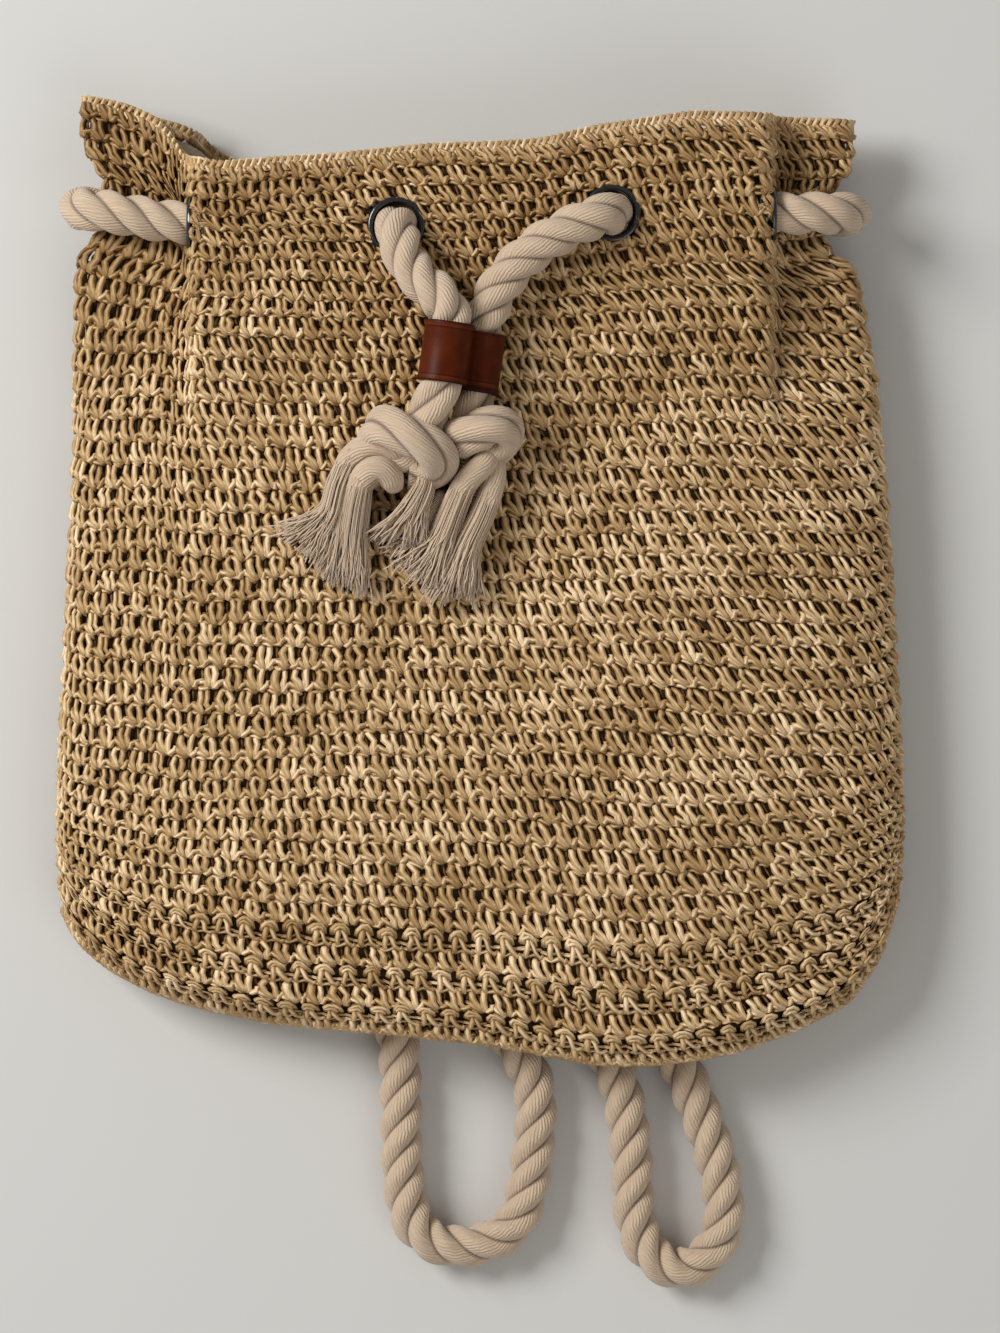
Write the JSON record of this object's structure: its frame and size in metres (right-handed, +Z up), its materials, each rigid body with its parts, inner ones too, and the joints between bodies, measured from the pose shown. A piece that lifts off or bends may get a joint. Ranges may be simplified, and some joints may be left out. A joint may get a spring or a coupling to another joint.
{
  "type": "woven straw drawstring backpack",
  "caption": "Crocheted straw drawstring backpack lying flat on its back, with a thick twisted cotton drawcord, knotted ends, a leather slider and rope shoulder straps.",
  "frame": {"origin": "centre of the bag's outline, without its loose ropes, on the surface it lies on", "axes": "+X across the bag to its right in the picture, +Y along the bag to its mouth, +Z up"},
  "size_m": [0.3394, 0.4749, 0.0824],
  "materials": {
    "straw": "crocheted natural straw yarn, matt with a slight sheen",
    "lining": "plain woven cotton, matt",
    "cotton": "three-strand twisted cotton rope, matt",
    "enamel": "glossy black enamel",
    "leather": "smooth reddish brown leather, softly polished"
  },
  "bodies": {
    "root": {"straw_bag": "straw", "bag_lining": "lining", "eyelet_front_left": "enamel", "eyelet_front_right": "enamel", "eyelet_side_left_upper": "enamel", "eyelet_side_left_lower": "enamel", "eyelet_side_right_upper": "enamel", "eyelet_side_right_lower": "enamel", "eyelet_back_left": "enamel", "eyelet_back_right": "enamel", "eyelet_strap_left_top": "enamel", "eyelet_strap_right_top": "enamel", "eyelet_strap_left_low": "enamel", "eyelet_strap_right_low": "enamel", "drawcord": "cotton", "drawcord_left_end": "cotton", "drawcord_right_end": "cotton", "strap_left": "cotton", "strap_right": "cotton", "leather_slider": "leather"}
  },
  "joints": []
}
